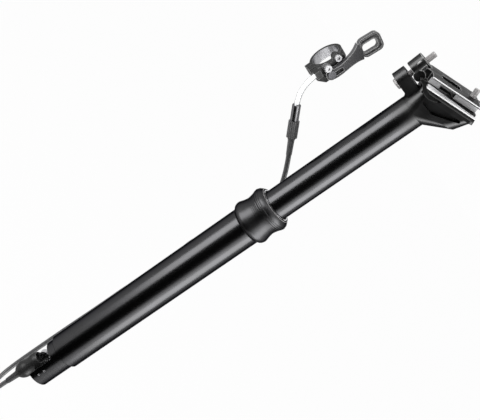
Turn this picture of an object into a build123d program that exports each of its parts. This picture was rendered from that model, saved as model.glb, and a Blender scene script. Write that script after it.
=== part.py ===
"""Dropper seatpost, 30.9 mm, 125 mm of travel, with its two-bolt saddle clamp, cable actuator and bar remote.

Frame, in millimetres: Z runs along the post towards the saddle, +X towards the back of the bicycle.
The origin is on the post's axis at the underside of the seal collar, where the bicycle's seat tube ends.
"""
import os
from math import asin, cos, pi, radians, sin, tan

from build123d import *

# lower tube and its collar
tube_r = 15.45
tube_bore_r = 13.8
tube_length = 191.5
thread_r = 14.6
thread_length = 11.0
collar_length = 28.0
collar_rim_out = 3.05
collar_waist_out = 1.25
key_width = 3.2
keyway_depth = 0.8
keyway_end_gap = 1.0

# stanchion
post_r = 12.5
post_bore_r = 10.6
travel = 125.0
post_overlap = 59.0
neck_z = 153.8
bushing_length = 24.0
slide_gap = 0.05

# saddle clamp: the cradle turns about a cross axis and its rails rise to the back
clamp_x = -6.0
clamp_z = 179.5
rail_slope = 20.0
rail_r = 3.5
rail_spacing = 44.0
rail_height = 0.2
seat_r = 11.0
seat_gap = 0.1
platform_drop = 6.3
platform_thickness = 3.0
platform_width = 30.0
head_width = 25.0
jaw_half_width = 25.6
bolt_r = 2.5
bolt_head_r = 4.25
bolt_head_length = 3.5
washer_thickness = 1.0
front_bolt_lean = 3.0
rear_bolt_lean = 20.5
nut_r = 3.5
nut_length = 12.0
ear_thickness = 9.8

# gas cartridge
cartridge_r = 8.75
cartridge_bore_r = 7.4
cartridge_top = -10.0
gland_length = 4.0
rod_r = 4.0
rod_stud_r = 3.0
valve_r = 1.5
valve_travel = 0.6

# foot and cable actuator
foot_r = 13.75
foot_length = 32.0
plug_length = 6.0
foot_wall = 2.4
foot_floor = 7.5
wire_x = -7.0
wire_r = 0.6
cam_arm = 5.6
cam_lift = 0.9
cam_width = 5.2
anchor_r = 2.2
stop_length = 25.5
stop_r = 7.3

# cable housing, liner and barrel adjuster
housing_r = 2.0
liner_r = 2.1
hank_run = 75.0
hank_fold_r = 12.0
hank_pitch = 4.6
hank_loops = 4
hank_waist = 6.0
boot_length = 13.0
barrel_r = 3.35
barrel_length = 13.0
sleeve_r = 4.25
sleeve_length = 13.4
sleeve_ribs = 18

# handlebar remote
bar_r = 11.1
band_r = 13.7
band_width = 8.0
band_y = -2.0
pivot_arm = 6.0
lever_thickness = 4.5
remote_origin = Vector(-64.6, 44.0, 120.3)
lever_run = Vector(0.0508, 0.2879, 0.9563)
remote_face = Vector(0.3487, -0.9028, 0.2529)

parts = []


def keep(builder, name):
    """Label one finished piece and put it on the list of pieces to write."""
    builder.part.label = name
    parts.append(builder.part)


def on_bolt(point, lean):
    """A plane on a clamp bolt's axis, its normal up the bolt and its x towards the back of the bicycle."""
    a = radians(lean)
    return Plane(origin=(point.X, 0, point.Z), x_dir=(cos(a), 0, sin(a)), z_dir=(-sin(a), 0, cos(a)))


def route_radii(points):
    """The largest tangent arcs that a cable route's runs allow, one for each corner."""
    radii = []
    for before, corner, after in zip(points, points[1:], points[2:]):
        run_in, run_out = corner - before, after - corner
        turn = radians(run_in.get_angle(run_out))
        radii.append(0.45 * min(run_in.length, run_out.length) / tan(turn / 2))
    return radii


# planes of the saddle clamp: s runs along the rails to the back, n is square to them
slope = radians(rail_slope)
clamp_centre = Vector(clamp_x, 0, clamp_z)
along = Vector(cos(slope), 0, sin(slope))
normal = Vector(-sin(slope), 0, cos(slope))
clamp_side = Plane(origin=clamp_centre, x_dir=along, z_dir=(0, -1, 0))
clamp_top = Plane(origin=clamp_centre, x_dir=along, z_dir=normal)
clamp_end = Plane(origin=clamp_centre, x_dir=(0, 1, 0), z_dir=along)

# the bolts' seats, and the nuts where each bolt's axis passes closest to the cradle's axis
ear_z = neck_z + 3.7
front_seat = Vector(-22.994, 0, ear_z + 2.2)
front_dir = Vector(-sin(radians(front_bolt_lean)), 0, cos(radians(front_bolt_lean)))
front_reach = (clamp_centre - front_seat).dot(front_dir)
front_nut = front_seat + front_dir * front_reach
front_top = 31.3
rear_mark = Vector(17.4, 0, 192.6)
rear_dir = Vector(-sin(radians(rear_bolt_lean)), 0, cos(radians(rear_bolt_lean)))
rear_nut = rear_mark + rear_dir * (clamp_centre - rear_mark).dot(rear_dir)
rear_seat_depth = 14.3
rear_top = 12.6
rear_s = (rear_nut - clamp_centre).dot(along)

# 1. lower tube with three keyways in its bore and a turned end under the collar
key_z = -post_overlap + 17.0
with BuildPart() as lower_tube:
    with BuildSketch(Plane.XZ):
        with BuildLine():
            Polyline(
                (tube_bore_r, -tube_length), (tube_r, -tube_length), (tube_r, 0), (thread_r, 0),
                (thread_r, thread_length), (tube_bore_r, thread_length), close=True,
            )
        make_face()
    revolve(axis=Axis.Z)
    bottom = lower_tube.edges().group_by(Axis.Z)[0].sort_by(SortBy.RADIUS)
    chamfer(bottom[-1], 0.8)
    keyway_top = thread_length - bushing_length - 2.0
    keyway_bottom = key_z - travel - keyway_end_gap
    with BuildSketch(Plane.XY.offset(keyway_bottom)):
        with PolarLocations(tube_bore_r, 3):
            Rectangle(2 * keyway_depth, key_width + 0.2)
    extrude(amount=keyway_top - keyway_bottom, mode=Mode.SUBTRACT)
keep(lower_tube, "lower_tube")

# 2. seal collar: two raised rims and a drawn-in waist, screwed over the tube's turned end
shoulder_r = post_r + 0.5
collar_rim_r = tube_r + collar_rim_out
collar_waist_r = tube_r + collar_waist_out
seal_r = post_r + 1.7
seal_z = collar_length - 5.0
with BuildPart() as seal_collar:
    with BuildSketch(Plane.XZ):
        with BuildLine():
            Polyline((thread_r + slide_gap, 0), (tube_r + 0.3, 0), (tube_r + 0.6, 0.5))
            Spline(
                (tube_r + 0.6, 0.5), (collar_rim_r - 0.7, 2.4), (collar_rim_r - 0.1, 5.4),
                (collar_waist_r + 0.6, 9.6), (collar_waist_r, 13.6), (collar_waist_r + 0.6, 17.8),
                (collar_rim_r + 0.1, collar_length - 5.6), (collar_rim_r - 0.5, collar_length - 3.2),
            )
            Polyline(
                (collar_rim_r - 0.5, collar_length - 3.2), (seal_r + 1.1, collar_length),
                (seal_r, collar_length), (seal_r, seal_z), (shoulder_r, seal_z),
                (shoulder_r, thread_length), (thread_r + slide_gap, thread_length), (thread_r + slide_gap, 0),
            )
        make_face()
    revolve(axis=Axis.Z)
keep(seal_collar, "seal_collar")

# 3. wiper seal and the bright ring that holds it down
ring_thickness = 0.9
with BuildPart() as wiper_seal:
    with BuildSketch(Plane.XZ):
        with BuildLine():
            Polyline(
                (post_r + 0.1, seal_z + 1.4), (post_r + 0.6, seal_z), (seal_r - slide_gap, seal_z),
                (seal_r - slide_gap, collar_length - ring_thickness),
                (post_r + 0.8, collar_length - ring_thickness), (post_r + 0.1, collar_length + 0.4), close=True,
            )
        make_face()
    revolve(axis=Axis.Z)
keep(wiper_seal, "wiper_seal")

with BuildPart() as retaining_ring:
    with BuildSketch(Plane.XY.offset(collar_length - ring_thickness)):
        Circle(seal_r - slide_gap)
        Circle(post_r + 0.9, mode=Mode.SUBTRACT)
    extrude(amount=ring_thickness + 0.3)
keep(retaining_ring, "retaining_ring")

# 4. upper bushing in the tube's mouth
with BuildPart() as upper_bushing:
    with BuildSketch(Plane.XY.offset(thread_length)):
        Circle(tube_bore_r - slide_gap)
        Circle(post_r + slide_gap, mode=Mode.SUBTRACT)
    extrude(amount=-bushing_length)
keep(upper_bushing, "upper_bushing")

# 5. foot: a plug in the tube's end, a floor for the cartridge and an open half shell around the actuator
foot_z = -tube_length - foot_length
floor_z = -tube_length - foot_floor
shell_edge_x = -3.0
cartridge_neck_r = 5.5
with BuildPart() as foot_housing:
    with BuildSketch(Plane.XZ):
        with BuildLine():
            Polyline(
                (cartridge_neck_r + slide_gap, floor_z), (foot_r - foot_wall, floor_z),
                (foot_r - foot_wall, foot_z), (foot_r, foot_z), (foot_r, -tube_length + plug_length),
                (cartridge_r + 0.4, -tube_length + plug_length), (cartridge_r + 0.4, -tube_length),
                (cartridge_neck_r + slide_gap, -tube_length), close=True,
            )
        make_face()
    revolve(axis=Axis.Z)
    with BuildSketch(Plane.XY.offset(foot_z)):
        with Locations((shell_edge_x, 0)):
            Rectangle(2 * foot_r, 3 * foot_r, align=(Align.MAX, Align.CENTER))
    extrude(amount=floor_z - foot_z, mode=Mode.SUBTRACT)
    stop_screw_x = 1.5
    stop_screw_z = (floor_z - 12.0, floor_z - 18.0)
    with BuildSketch(Plane.XZ):
        with Locations(*[(stop_screw_x, z) for z in stop_screw_z]):
            Circle(1.3)
    extrude(amount=foot_r + 1, mode=Mode.SUBTRACT)
keep(foot_housing, "foot_housing")

# 6. gas cartridge with its bore, gland and threaded neck
neck_end_z = floor_z - 5.0
with BuildPart() as gas_cartridge:
    with BuildSketch(Plane.XZ):
        with BuildLine():
            Polyline(
                (valve_r + 0.1, neck_end_z), (cartridge_neck_r, neck_end_z), (cartridge_neck_r, -tube_length),
                (cartridge_r, -tube_length), (cartridge_r, cartridge_top), (rod_r + 0.06, cartridge_top),
                (rod_r + 0.06, cartridge_top - gland_length), (cartridge_bore_r, cartridge_top - gland_length),
                (cartridge_bore_r, -tube_length + 3.5), (valve_r + 0.1, -tube_length + 3.5), close=True,
            )
        make_face()
    revolve(axis=Axis.Z)
keep(gas_cartridge, "gas_cartridge")

with BuildPart() as cartridge_nut:
    with BuildSketch(Plane.XY.offset(floor_z)):
        RegularPolygon(7.5, 6, major_radius=False)
        Circle(cartridge_neck_r + slide_gap, mode=Mode.SUBTRACT)
    extrude(amount=-3.6)
keep(cartridge_nut, "cartridge_nut")

# 7. cam: a rocking lever that the wire pulls down on one side, so that its nose lifts the valve pin
cam_pivot = Vector(wire_x + cam_arm, 0, neck_end_z - 5.7)
anchor = Vector(wire_x, 0, cam_pivot.Z + cam_lift)
cam_hub_r = 2.7
cam_eye_r = 4.2
cam_pin_r = 1.25
nose_top = cam_hub_r
with BuildPart() as actuator_cam:
    with BuildSketch(Plane.XZ):
        with Locations((cam_pivot.X, cam_pivot.Z)):
            Circle(cam_hub_r)
        with Locations((anchor.X, anchor.Z)):
            Circle(cam_eye_r)
        with BuildLine():
            Polyline(
                (anchor.X, anchor.Z + 2.6), (cam_pivot.X + 1.0, cam_pivot.Z + nose_top),
                (cam_pivot.X + 4.2, cam_pivot.Z + nose_top), (cam_pivot.X + 4.4, cam_pivot.Z - 0.6),
                (cam_pivot.X, cam_pivot.Z - cam_hub_r), (anchor.X, anchor.Z - 3.2), close=True,
            )
        make_face()
        with Locations((cam_pivot.X, cam_pivot.Z)):
            Circle(cam_pin_r + slide_gap, mode=Mode.SUBTRACT)
        with Locations((anchor.X, anchor.Z)):
            Circle(anchor_r + 0.15, mode=Mode.SUBTRACT)
    extrude(amount=cam_width / 2, both=True)
    with BuildSketch(Plane.XY.offset(anchor.Z)):
        with Locations((wire_x - 0.6, 0)):
            Rectangle(3.6, 2 * wire_r + 0.7)
    extrude(amount=-2 * cam_eye_r, mode=Mode.SUBTRACT)
keep(actuator_cam, "actuator_cam")

with BuildPart() as wire_anchor:
    with BuildSketch(Plane.XZ):
        with Locations((anchor.X, anchor.Z)):
            Circle(anchor_r)
    extrude(amount=cam_width / 2 + 0.4, both=True)
    with BuildSketch(Plane.XY.offset(anchor.Z - anchor_r - 0.1)):
        with Locations((wire_x, 0)):
            Circle(wire_r + 0.02)
    extrude(amount=anchor_r + 0.1, mode=Mode.SUBTRACT)
keep(wire_anchor, "wire_anchor")

with BuildPart() as valve_pin:
    with BuildSketch(Plane.XZ):
        with BuildLine():
            tip_z = cam_pivot.Z + nose_top + 0.1
            CenterArc((0, tip_z + valve_r), valve_r, 270, 90)
            Polyline((valve_r, tip_z + valve_r), (valve_r, tip_z + 14.5), (0, tip_z + 14.5), (0, tip_z))
        make_face()
    revolve(axis=Axis.Z)
keep(valve_pin, "valve_pin")

# 8. cable stop: a waisted barrel around the wire, a yoke for the cam and a block in the foot's shell
stop_top = floor_z - 14.5
stop_z = stop_top - stop_length
yoke_thickness = 2.2
with BuildPart() as cable_stop:
    with BuildSketch(Plane(origin=(wire_x, 0, 0), x_dir=(1, 0, 0), z_dir=(0, -1, 0))):
        with BuildLine():
            Spline(
                (3.4, stop_z), (6.3, stop_z + 3.6), (stop_r, stop_z + 9), (stop_r - 0.9, stop_z + 14),
                (stop_r - 0.2, stop_z + 20), (stop_r - 1.4, stop_top),
            )
            Polyline((stop_r - 1.4, stop_top), (0, stop_top), (0, stop_z), (3.4, stop_z))
        make_face()
    revolve(axis=Axis(origin=(wire_x, 0, 0), direction=(0, 0, 1)))
    # the block that the two screws hold inside the foot's shell
    with BuildSketch(Plane.XY.offset(stop_top)):
        with BuildLine():
            reach = foot_r - foot_wall - 0.3
            ThreePointArc((0, -reach), (reach, 0), (0, reach))
            Polyline((0, reach), (-2.4, reach - 0.5), (-2.4, 0.5 - reach), (0, -reach))
        make_face()
    extrude(amount=-8.0)
    # the yoke's two cheeks, with the cam's pivot across them
    cheek_in = cam_width / 2 + 0.3
    for side in (1, -1):
        with BuildSketch(Plane.XZ.offset(-side * cheek_in)):
            with BuildLine():
                Polyline(
                    (cam_pivot.X - 3.0, stop_top - 2), (cam_pivot.X - 3.0, cam_pivot.Z),
                    (cam_pivot.X - 1.2, cam_pivot.Z + 2.6), (cam_pivot.X + 1.6, cam_pivot.Z + 2.6),
                    (cam_pivot.X + 3.6, cam_pivot.Z), (cam_pivot.X + 3.6, stop_top - 2), close=True,
                )
            make_face()
        extrude(amount=-side * yoke_thickness)
    # the slot in which the wire and the cam's eye run down, and the holes
    with BuildSketch(Plane.XZ):
        with Locations((wire_x - 0.2, stop_top + 0.1)):
            Rectangle(2 * cam_eye_r + 1.4, 5.0, align=(Align.CENTER, Align.MAX))
        with Locations((cam_pivot.X, cam_pivot.Z)):
            Circle(cam_pin_r + 0.02)
    extrude(amount=cheek_in, both=True, mode=Mode.SUBTRACT)
    with BuildSketch(Plane.XZ):
        with Locations((cam_pivot.X, cam_pivot.Z)):
            Circle(cam_pin_r + 0.02)
    extrude(amount=cheek_in + yoke_thickness + 1, both=True, mode=Mode.SUBTRACT)
    with BuildSketch(Plane.XY.offset(stop_top)):
        with Locations((wire_x, 0)):
            Circle(wire_r + 0.25)
    extrude(amount=-stop_length, mode=Mode.SUBTRACT)
    with BuildSketch(Plane.XZ):
        with Locations(*[(stop_screw_x, z) for z in stop_screw_z]):
            Circle(1.02)
    extrude(amount=foot_r, mode=Mode.SUBTRACT)
keep(cable_stop, "cable_stop")

with BuildPart() as cam_pivot_pin:
    with BuildSketch(Plane.XZ):
        with Locations((cam_pivot.X, cam_pivot.Z)):
            Circle(cam_pin_r)
    extrude(amount=cheek_in + yoke_thickness + 0.3, both=True)
keep(cam_pivot_pin, "cam_pivot_pin")


def stop_screw(z):
    """One small screw through the foot's shell into the cable stop, its round head in the shell's hole."""
    with BuildPart() as screw:
        with BuildSketch(Plane.XZ.offset(4.0)):
            with Locations((stop_screw_x, z)):
                Circle(1.0)
        extrude(amount=foot_r - 4.6)
        with BuildSketch(screw.faces().sort_by(Axis.Y)[0]):
            RegularPolygon(0.55, 6)
        extrude(amount=-0.9, mode=Mode.SUBTRACT)
    return screw


for number, z in enumerate(stop_screw_z):
    keep(stop_screw(z), ("stop_screw_upper", "stop_screw_lower")[number])

# 9. boot under the stop, and the bare wire from its anchor down into it
boot_end_z = stop_z - boot_length
with BuildPart() as stop_boot:
    with BuildSketch(Plane(origin=(wire_x, 0, 0), x_dir=(1, 0, 0), z_dir=(0, -1, 0))):
        with BuildLine():
            Polyline(
                (0, stop_z), (3.1, stop_z), (3.1, stop_z - 1.6), (2.9, stop_z - 2.0),
                (housing_r + 0.45, boot_end_z + 0.6), (housing_r + 0.1, boot_end_z), (0, boot_end_z), close=True,
            )
        make_face()
    revolve(axis=Axis(origin=(wire_x, 0, 0), direction=(0, 0, 1)))
    with BuildSketch(Plane.XY.offset(stop_z)):
        with Locations((wire_x, 0)):
            Circle(wire_r + 0.25)
    extrude(amount=-9.0, mode=Mode.SUBTRACT)
keep(stop_boot, "stop_boot")

with BuildPart() as inner_wire:
    with BuildSketch(Plane.XY.offset(anchor.Z - 0.3)):
        with Locations((wire_x, 0)):
            Circle(wire_r)
    extrude(amount=stop_z - 6.0 - (anchor.Z - 0.3))
keep(inner_wire, "inner_wire")

# 10. stanchion: drawn tube and forged head in one piece
wall_top = neck_z - 2.0
platform_s0, platform_s1 = -9.9, 35.8
with BuildPart() as stanchion:
    with BuildSketch(Plane.XY.offset(-post_overlap)):
        Circle(post_r)
    extrude(amount=neck_z + post_overlap)
    # the neck flares into the head: three sections of four sides and four round corners
    with BuildSketch(Plane.XY.offset(neck_z)):
        RectangleRounded(2 * post_r - 0.6, 2 * post_r - 0.6, post_r - 0.7)
    with BuildSketch(clamp_top.offset(-20.5)):
        with Locations((7.3, 0)):
            RectangleRounded(43.4, head_width, 11.5)
    with BuildSketch(clamp_top.offset(-platform_drop - platform_thickness)):
        with Locations(((platform_s0 + platform_s1) / 2, 0)):
            RectangleRounded(platform_s1 - platform_s0 - 1.0, head_width, 6.0)
    loft(ruled=True)
    # the thin plate on top, wider than the head
    with BuildSketch(clamp_top.offset(-platform_drop - platform_thickness)):
        with Locations(((platform_s0 + platform_s1) / 2, 0)):
            RectangleRounded(platform_s1 - platform_s0, platform_width, 3.0)
    extrude(amount=platform_thickness)
    # the front ear and the web under it
    with BuildSketch(Plane.XY.offset(ear_z)):
        with Locations((front_seat.X - 0.6, 0)):
            Circle(7.4)
        with Locations((front_seat.X - 0.6, 0)):
            Rectangle(17.0, 14.8, align=(Align.MIN, Align.CENTER))
    extrude(amount=ear_thickness)
    with BuildSketch(Plane.XZ):
        with BuildLine():
            ThreePointArc((-post_r + 1.0, neck_z + 0.4), (-post_r - 0.9, neck_z + 2.7), (-post_r - 4.2, ear_z + 0.3))
            Polyline((-post_r - 4.2, ear_z + 0.3), (-post_r + 3, ear_z + 0.3), (-post_r + 1.0, neck_z + 0.4))
        make_face()
    extrude(amount=4.5, both=True)
    # hollow side pockets that leave a web in the middle
    for side in (1, -1):
        with BuildSketch(Plane(origin=clamp_centre + Vector(0, -side * 8.4, 0), x_dir=along, z_dir=(0, -1, 0))):
            with BuildLine():
                FilletPolyline(
                    (-2.6, -11.4), (30.0, -11.4), (27.6, -13.6), (8.0, -18.9), (-2.2, -15.4),
                    radius=1.2, close=True,
                )
            make_face()
        extrude(amount=side * 10.0, mode=Mode.SUBTRACT)
    # the round seat for the cradle, and the recess that the rear nut's boss dips into
    with BuildSketch(clamp_side):
        Circle(seat_r)
    extrude(amount=platform_width, both=True, mode=Mode.SUBTRACT)
    with BuildSketch(clamp_top.offset(-platform_drop - 2.0)):
        with Locations((26.95, 0)):
            RectangleRounded(15.1, 14.2, 3.0)
    extrude(amount=8.0, mode=Mode.SUBTRACT)
    # bolt holes, and the counterbore for the rear bolt's head
    with BuildSketch(on_bolt(front_seat, front_bolt_lean).offset(-3.0)):
        Circle(bolt_r + 0.4)
    extrude(amount=ear_thickness + 8.0, mode=Mode.SUBTRACT)
    with BuildSketch(on_bolt(front_seat, front_bolt_lean)):
        Circle(bolt_head_r + 0.4)
    extrude(amount=-8.0, mode=Mode.SUBTRACT)
    with BuildSketch(on_bolt(rear_nut, rear_bolt_lean).offset(-rear_seat_depth - 1.0)):
        Circle(bolt_r + 0.4)
    extrude(amount=rear_seat_depth, mode=Mode.SUBTRACT)
    with BuildSketch(on_bolt(rear_nut, rear_bolt_lean).offset(-rear_seat_depth)):
        Circle(bolt_head_r + 0.4)
    extrude(amount=-20.0, mode=Mode.SUBTRACT)
    # the bore, the rod's hole and the recess for its nut
    with BuildSketch(Plane.XY.offset(-post_overlap)):
        Circle(post_bore_r)
    extrude(amount=wall_top + post_overlap, mode=Mode.SUBTRACT)
    with BuildSketch(Plane.XY.offset(wall_top - 1)):
        Circle(rod_stud_r + slide_gap)
    extrude(amount=12.0, mode=Mode.SUBTRACT)
    with BuildSketch(Plane.XY.offset(wall_top + 8.0)):
        Circle(5.6)
    extrude(amount=16.0, mode=Mode.SUBTRACT)
    # the turned-down end for the lower bushing, and flats for the three guide keys
    with BuildSketch(Plane.XY.offset(-post_overlap)):
        Circle(post_r + 1)
        Circle(post_r - 0.4, mode=Mode.SUBTRACT)
    extrude(amount=14.0, mode=Mode.SUBTRACT)
    with BuildSketch(Plane.XY.offset(key_z)):
        with PolarLocations(post_r, 3):
            Rectangle(1.6, key_width + 0.04)
    extrude(amount=9.0, mode=Mode.SUBTRACT)
keep(stanchion, "stanchion")

with BuildPart() as lower_bushing:
    with BuildSketch(Plane.XY.offset(-post_overlap)):
        Circle(tube_bore_r - slide_gap)
        Circle(post_r - 0.4 + slide_gap, mode=Mode.SUBTRACT)
    extrude(amount=14.0 - 0.05)
keep(lower_bushing, "lower_bushing")

for number in range(3):
    with BuildPart() as guide_key:
        with BuildSketch(Plane.XY.offset(key_z + 0.1)):
            with PolarLocations(post_r - 0.8, 1, start_angle=120 * number):
                Rectangle(tube_bore_r + keyway_depth - 0.15 - (post_r - 0.8), key_width,
                          align=(Align.MIN, Align.CENTER))
        extrude(amount=8.8)
        chamfer(guide_key.edges().filter_by(Axis.Z, reverse=True).group_by(Axis.Z)[-1], 0.3)
    keep(guide_key, f"guide_key_{'abc'[number]}")

# 11. piston rod, piston and the nut that holds the rod in the head
piston_top = cartridge_top - gland_length - 1.0
with BuildPart() as cartridge_rod:
    with BuildSketch(Plane.XZ):
        with BuildLine():
            Polyline(
                (0, piston_top - 8), (rod_stud_r, piston_top - 8), (rod_stud_r, piston_top), (rod_r, piston_top),
                (rod_r, wall_top), (rod_stud_r, wall_top), (rod_stud_r, wall_top + 13.5), (0, wall_top + 13.5),
                close=True,
            )
        make_face()
    revolve(axis=Axis.Z)
keep(cartridge_rod, "cartridge_rod")

with BuildPart() as rod_piston:
    with BuildSketch(Plane.XY.offset(piston_top)):
        Circle(cartridge_bore_r - slide_gap)
        Circle(rod_stud_r + 0.02, mode=Mode.SUBTRACT)
    extrude(amount=-7.0)
    chamfer(rod_piston.edges().filter_by(GeomType.CIRCLE).sort_by(SortBy.RADIUS)[-2:], 0.5)
keep(rod_piston, "rod_piston")

with BuildPart() as rod_top_nut:
    with BuildSketch(Plane.XY.offset(wall_top + 8.0)):
        RegularPolygon(4.0, 6, major_radius=False)
        Circle(rod_stud_r + 0.02, mode=Mode.SUBTRACT)
    extrude(amount=4.5)
keep(rod_top_nut, "rod_top_nut")

# 12. lower cradle: a round keel in the head's seat and a groove for each rail
cradle_s0, cradle_s1 = -7.6, 33.0
deck_top = -1.0
lip_top = rail_height - 2.6
with BuildPart() as lower_cradle:
    with BuildSketch(clamp_side):
        Circle(seat_r - seat_gap)
        with Locations((0, deck_top)):
            Rectangle(3 * seat_r, 2 * seat_r, align=(Align.CENTER, Align.MIN), mode=Mode.SUBTRACT)
        with BuildLine():
            Polyline(
                (-9.0, -5.0), (9.0, -5.0), (cradle_s1, -3.2), (cradle_s1, deck_top), (-12.6, deck_top),
                (-13.6, -1.9), (-12.6, -3.4), close=True,
            )
        make_face()
    extrude(amount=13.0, both=True)
    with BuildSketch(clamp_end.offset(cradle_s0)):
        with BuildLine():
            Polyline(
                (12.0, -3.2), (15.6, -3.4), (17.4, -5.8), (jaw_half_width - 0.9, -5.8), (jaw_half_width - 0.1, -5.0),
                (jaw_half_width - 0.1, lip_top - 0.8), (jaw_half_width - 0.9, lip_top),
                (rail_spacing / 2 - 3.0, lip_top), (17.0, deck_top), (12.0, deck_top), close=True,
            )
        make_face()
        mirror(about=Plane.YZ)
        with Locations((rail_spacing / 2, rail_height), (-rail_spacing / 2, rail_height)):
            Circle(rail_r, mode=Mode.SUBTRACT)
    extrude(amount=cradle_s1 - cradle_s0)
    # each rail bed's front end slopes up, clear of the cable when the post is down
    for side in (1, -1):
        with BuildSketch(clamp_side.offset(side * 14.0)):
            with BuildLine():
                Polyline(
                    (cradle_s0 - 1.0, -3.4), (cradle_s0, -3.4), (cradle_s0 + 4.2, -6.2), (cradle_s0 - 1.0, -6.2),
                    close=True,
                )
            make_face()
        extrude(amount=side * 15.0, mode=Mode.SUBTRACT)
    # notches for the two nut bosses of the upper clamp, and a shallow pocket in the deck
    with BuildSketch(clamp_top.offset(-seat_r)):
        with Locations((rear_s - 7.0, 0)):
            Rectangle(30.0, 14.4, align=(Align.MIN, Align.CENTER))
        with Locations((-9.6, 0)):
            Rectangle(10.0, 14.6, align=(Align.MAX, Align.CENTER))
    extrude(amount=2 * seat_r, mode=Mode.SUBTRACT)
    with BuildSketch(clamp_top.offset(deck_top)):
        with Locations((4.0, 0)):
            RectangleRounded(18.0, 16.0, 3.0)
    extrude(amount=-2.0, mode=Mode.SUBTRACT)
keep(lower_cradle, "lower_cradle")

# 13. upper clamp: a plate between the rails, a jaw over each rail and a boss around each barrel nut
clamp_s0, clamp_s1 = -8.6, 31.4
plate_bottom = deck_top + 0.6
plate_top = plate_bottom + 6.6
jaw_bottom = rail_height + 3.0
jaw_top = jaw_bottom + 2.8
boss_r = 6.2
front_boss = (-7.5, 4.4)
rear_boss = (-4.9, 5.6)
with BuildPart() as upper_clamp:
    with BuildSketch(clamp_end.offset(clamp_s0)):
        with BuildLine():
            Polyline(
                (0, plate_bottom), (16.2, plate_bottom), (17.2, plate_bottom + 1.6), (18.4, jaw_bottom),
                (jaw_half_width - 0.5, jaw_bottom), (jaw_half_width, jaw_bottom + 0.5),
                (jaw_half_width, jaw_top - 0.7), (jaw_half_width - 1.0, jaw_top), (14.0, plate_top),
                (0, plate_top), close=True,
            )
        make_face()
        mirror(about=Plane.YZ)
        with Locations((rail_spacing / 2, rail_height), (-rail_spacing / 2, rail_height)):
            Circle(rail_r, mode=Mode.SUBTRACT)
    extrude(amount=clamp_s1 - clamp_s0)
    # a window through the plate and one through each side web
    with BuildSketch(clamp_top.offset(plate_bottom - 1)):
        with Locations((8.0, 0)):
            RectangleRounded(16.0, 17.0, 3.0)
    extrude(amount=10.0, mode=Mode.SUBTRACT)
    with BuildSketch(clamp_side):
        with Locations((6.5, plate_bottom - 1.0)):
            Rectangle(12.5, 4.2, align=(Align.CENTER, Align.MIN))
    extrude(amount=jaw_half_width + 1, both=True, mode=Mode.SUBTRACT)
    # the bosses, each along its own bolt, joined to the plate
    with BuildSketch(on_bolt(front_nut, front_bolt_lean).offset(front_boss[0])):
        with Locations((-0.8, 0)):
            Circle(boss_r + 0.4)
    extrude(amount=front_boss[1] - front_boss[0])
    with BuildSketch(on_bolt(rear_nut, rear_bolt_lean).offset(rear_boss[0])):
        Circle(boss_r)
        with Locations((0.5, 0)):
            RectangleRounded(6.8, 11.0, 2.2, align=(Align.MIN, Align.CENTER))
    extrude(amount=rear_boss[1] - rear_boss[0])
    with BuildSketch(clamp_top.offset(plate_bottom)):
        with Locations((clamp_s0 - 7.0, 0)):
            Rectangle(10.0, 11.6, align=(Align.MIN, Align.CENTER))
    extrude(amount=plate_top - plate_bottom)
    # the round lobe that carries the front boss down in front of the cradle
    with BuildSketch(clamp_side):
        with Locations((-14.6, -1.6)):
            Circle(4.4)
    extrude(amount=6.2, both=True)
    # the nuts' cross holes and the slots that let the bolts swing
    with BuildSketch(Plane.XZ):
        with Locations((front_nut.X, front_nut.Z), (rear_nut.X, rear_nut.Z)):
            Circle(nut_r + slide_gap)
    extrude(amount=nut_length / 2 + 0.05, both=True, mode=Mode.SUBTRACT)
    for nut, lean in ((front_nut, front_bolt_lean), (rear_nut, rear_bolt_lean)):
        with BuildSketch(on_bolt(nut, lean).offset(-12.0)):
            Circle(bolt_r + 1.0)
        extrude(amount=28.0, mode=Mode.SUBTRACT)
keep(upper_clamp, "upper_clamp")


def barrel_nut(centre, lean):
    """A cross nut: a short round bar with the bolt's hole through its middle."""
    with BuildPart() as nut:
        with BuildSketch(Plane.XZ):
            with Locations((centre.X, centre.Z)):
                Circle(nut_r)
        extrude(amount=nut_length / 2 - 0.1, both=True)
        with BuildSketch(on_bolt(centre, lean).offset(-nut_r - 1)):
            Circle(bolt_r + 0.12)
        extrude(amount=2 * nut_r + 2, mode=Mode.SUBTRACT)
    return nut


keep(barrel_nut(front_nut, front_bolt_lean), "barrel_nut_front")
keep(barrel_nut(rear_nut, rear_bolt_lean), "barrel_nut_rear")


def clamp_bolt(seat_plane, length):
    """A cap screw up from its washer: socket head below the seat, plain thread above."""
    with BuildPart() as bolt:
        with BuildSketch(seat_plane.offset(-washer_thickness - bolt_head_length)):
            Circle(bolt_head_r)
        extrude(amount=bolt_head_length)
        with BuildSketch(seat_plane.offset(-washer_thickness - 0.1)):
            Circle(bolt_r)
        extrude(amount=length + washer_thickness + 0.1)
        with BuildSketch(seat_plane.offset(-washer_thickness - bolt_head_length)):
            RegularPolygon(2.3, 6)
        extrude(amount=2.6, mode=Mode.SUBTRACT)
        chamfer(bolt.edges().filter_by(GeomType.CIRCLE).sort_by_distance(
            (seat_plane * Pos(0, 0, length)).position)[0], 0.5)
    return bolt


def bolt_washer(seat_plane):
    """The plain washer under a clamp bolt's head."""
    with BuildPart() as washer:
        with BuildSketch(seat_plane.offset(-washer_thickness)):
            Circle(bolt_head_r)
            Circle(bolt_r + 0.05, mode=Mode.SUBTRACT)
        extrude(amount=washer_thickness)
    return washer


front_plane = on_bolt(front_seat, front_bolt_lean)
rear_plane = on_bolt(rear_nut, rear_bolt_lean).offset(-rear_seat_depth)
keep(clamp_bolt(front_plane, front_top), "clamp_bolt_front")
keep(clamp_bolt(rear_plane, rear_seat_depth + rear_top), "clamp_bolt_rear")
keep(bolt_washer(front_plane), "bolt_washer_front")
keep(bolt_washer(rear_plane), "bolt_washer_rear")

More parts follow.
